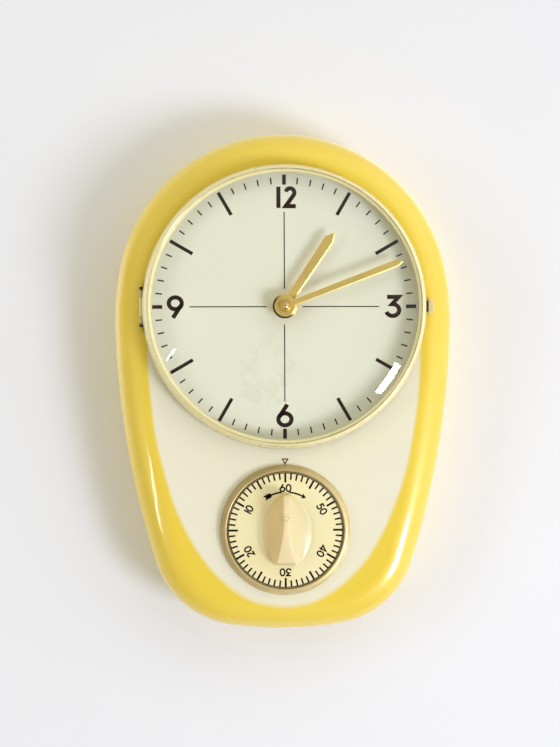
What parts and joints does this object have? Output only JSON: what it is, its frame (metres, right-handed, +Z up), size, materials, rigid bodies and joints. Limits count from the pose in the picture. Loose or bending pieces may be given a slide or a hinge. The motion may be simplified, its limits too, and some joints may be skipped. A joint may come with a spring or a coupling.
{
  "type": "ceramic wall clock with kitchen timer",
  "caption": "Two-tone glazed ceramic kitchen wall clock with a hinged round bezel over its dial and a clockwork minute timer below, battery movement inside.",
  "frame": {"origin": "centre of the round hole of the hanging keyhole, in the wall plane", "axes": "+Z up the wall, +Y into the wall, +X to the right seen from the front"},
  "size_m": [0.184, 0.059, 0.2702],
  "materials": {
    "glaze": "gloss",
    "zinc_steel": "satin",
    "screw_steel": "polished",
    "pan_lacquer": "satin",
    "dial_paint": "matt",
    "bezel_ivory": "gloss",
    "crystal_clear": "polished",
    "brass_satin": "satin",
    "brass_plate": "brushed",
    "brass_ring": "lacquered",
    "knob_ivory": "satin",
    "cover_plastic": "matt",
    "holder_plastic": "matt",
    "board": "matt",
    "coil_copper": "satin",
    "spring_steel": "polished",
    "cell_jacket": "gloss",
    "bell_nickel": "polished"
  },
  "bodies": {
    "root": {"ceramic_case": "glaze", "hanger_plate": "zinc_steel", "hanger_screws": "screw_steel", "dial_pan": "pan_lacquer", "dial_plate": "dial_paint", "pan_clamps": "zinc_steel", "pan_clamp_screws": "screw_steel", "hinge_leaf": "brass_satin", "hinge_pin": "screw_steel", "bezel_catch": "spring_steel", "movement_front_plate": "brass_plate", "movement_back_plate": "brass_plate", "movement_pillars": "brass_plate", "movement_mount_screws": "screw_steel", "movement_cover": "cover_plastic", "minute_wheel_stud": "screw_steel", "hairspring": "spring_steel", "drive_coil": "coil_copper", "circuit_board": "board", "battery_holder": "holder_plastic", "holder_screws": "screw_steel", "battery_contacts": "zinc_steel", "timer_ring": "brass_ring", "timer_ring_nut": "zinc_steel", "timer_front_plate": "brass_plate", "timer_back_plate": "zinc_steel", "timer_pillars": "brass_plate", "timer_plate_screws": "screw_steel", "timer_housing": "zinc_steel", "timer_mainspring": "spring_steel", "alarm_bell": "bell_nickel", "bell_screw": "screw_steel"},
    "bezel": {"bezel_ring": "bezel_ivory", "bezel_lug": "bezel_ivory", "crystal": "crystal_clear", "crystal_retainer": "spring_steel"},
    "minute": {"minute_hand": "brass_satin", "hand_nut": "brass_satin", "centre_arbor": "screw_steel", "cannon_pinion": "screw_steel", "centre_wheel": "brass_plate", "setting_knob": "cover_plastic"},
    "hour": {"hour_hand": "brass_satin", "hour_wheel": "brass_plate"},
    "minute_wheel": {"minute_wheel": "brass_plate"},
    "third_wheel": {"third_wheel": "brass_plate"},
    "fourth_wheel": {"fourth_wheel": "brass_plate"},
    "index_wheel": {"index_wheel": "brass_plate"},
    "balance": {"balance_wheel": "brass_plate"},
    "battery": {"battery": "cell_jacket"},
    "timer_dial": {"timer_dial_knob": "knob_ivory", "timer_arbor": "screw_steel", "timer_great_wheel": "brass_plate", "timer_release_cam": "brass_plate"},
    "timer_second": {"timer_second_wheel": "brass_plate"},
    "timer_third": {"timer_third_wheel": "brass_plate"},
    "timer_escape": {"timer_escape_wheel": "brass_plate"},
    "pallet": {"timer_pallet": "screw_steel"},
    "hammer": {"alarm_hammer": "screw_steel"}
  },
  "joints": [
    {"name": "bezel_swing", "type": "hinge", "parent": "root", "child": "bezel", "pos_m": [-0.0769, -0.0443, -0.073], "axis": [0, 0, -1], "range_deg": [0, 110]},
    {"name": "minute_hand_turn", "type": "hinge", "parent": "root", "child": "minute", "pos_m": [0, -0.035, -0.073], "axis": [0, 1, 0], "continuous": true},
    {"name": "hour_hand_turn", "type": "hinge", "parent": "root", "child": "hour", "pos_m": [0, -0.038, -0.073], "axis": [0, 1, 0], "continuous": true},
    {"name": "minute_wheel_turn", "type": "hinge", "parent": "root", "child": "minute_wheel", "pos_m": [-0.00849, -0.036, -0.08149], "axis": [0, 1, 0], "continuous": true},
    {"name": "third_wheel_turn", "type": "hinge", "parent": "root", "child": "third_wheel", "pos_m": [0.0084, -0.028, -0.05845], "axis": [0, 1, 0], "continuous": true},
    {"name": "fourth_wheel_turn", "type": "hinge", "parent": "root", "child": "fourth_wheel", "pos_m": [0.0003, -0.025, -0.0488], "axis": [0, 1, 0], "continuous": true},
    {"name": "index_wheel_turn", "type": "hinge", "parent": "root", "child": "index_wheel", "pos_m": [-0.01034, -0.022, -0.04692], "axis": [0, 1, 0], "continuous": true},
    {"name": "balance_swing", "type": "hinge", "parent": "root", "child": "balance", "pos_m": [-0.01654, -0.019, -0.05766], "axis": [0, 1, 0], "range_deg": [-135, 135], "stiffness_Nm_per_rad": 0.00007},
    {"name": "battery_slide", "type": "slide", "parent": "root", "child": "battery", "axis": [0, 1, 0], "range_m": [0, 0.035]},
    {"name": "timer_dial_turn", "type": "hinge", "parent": "root", "child": "timer_dial", "pos_m": [0, -0.044, -0.193], "axis": [0, 1, 0], "range_deg": [0, 354]},
    {"name": "timer_second_turn", "type": "hinge", "parent": "root", "child": "timer_second", "pos_m": [-0.01455, -0.028, -0.1846], "axis": [0, 1, 0], "range_deg": [-2130, 6]},
    {"name": "timer_third_turn", "type": "hinge", "parent": "root", "child": "timer_third", "pos_m": [-0.00825, -0.025, -0.17369], "axis": [0, 1, 0], "range_deg": [-30, 10650]},
    {"name": "timer_escape_turn", "type": "hinge", "parent": "root", "child": "timer_escape", "pos_m": [0.00239, -0.023, -0.17556], "axis": [0, 1, 0], "range_deg": [-53250, 150]},
    {"name": "pallet_swing", "type": "hinge", "parent": "root", "child": "pallet", "pos_m": [0.01139, -0.023, -0.17556], "axis": [0, 1, 0], "range_deg": [-4, 4]},
    {"name": "hammer_swing", "type": "hinge", "parent": "root", "child": "hammer", "pos_m": [-0.005, -0.012, -0.205], "axis": [0, 1, 0], "range_deg": [-8, 8], "stiffness_Nm_per_rad": 0.005}
  ],
  "couplings": [
    {"joint": "hour_hand_turn", "follows": "minute_hand_turn", "ratio": 0.083333},
    {"joint": "minute_wheel_turn", "follows": "minute_hand_turn", "ratio": -0.33333},
    {"joint": "third_wheel_turn", "follows": "minute_hand_turn", "ratio": -6},
    {"joint": "fourth_wheel_turn", "follows": "minute_hand_turn", "ratio": 30},
    {"joint": "index_wheel_turn", "follows": "minute_hand_turn", "ratio": -150},
    {"joint": "timer_second_turn", "follows": "timer_dial_turn", "ratio": -6},
    {"joint": "timer_third_turn", "follows": "timer_dial_turn", "ratio": 30},
    {"joint": "timer_escape_turn", "follows": "timer_dial_turn", "ratio": -150}
  ]
}
